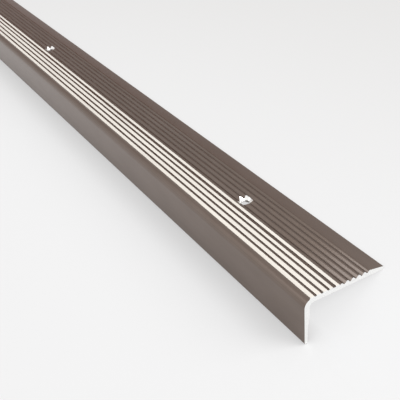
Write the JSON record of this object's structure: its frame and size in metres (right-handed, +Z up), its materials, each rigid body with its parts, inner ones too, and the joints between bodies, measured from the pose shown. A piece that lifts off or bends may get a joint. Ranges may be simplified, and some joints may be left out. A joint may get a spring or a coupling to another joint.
{
  "type": "stair nosing",
  "caption": "Extruded aluminium stair nosing: ribbed tread plate with a rounded nose, a short front leg and a row of countersunk screw holes.",
  "frame": {"origin": "middle of the profile's bounding box, on the floor that it lies on", "axes": "+X along the length, +Y from the front leg towards the back edge, +Z up; the profile lies on its leg's foot and its back edge"},
  "size_m": [1.2, 0.0464, 0.0198],
  "materials": {
    "anodised_bronze": "bronze anodised satin, with the front ribs, the countersinks and the sawn ends bare"
  },
  "bodies": {
    "root": {"nosing_profile": "anodised_bronze"}
  },
  "joints": []
}
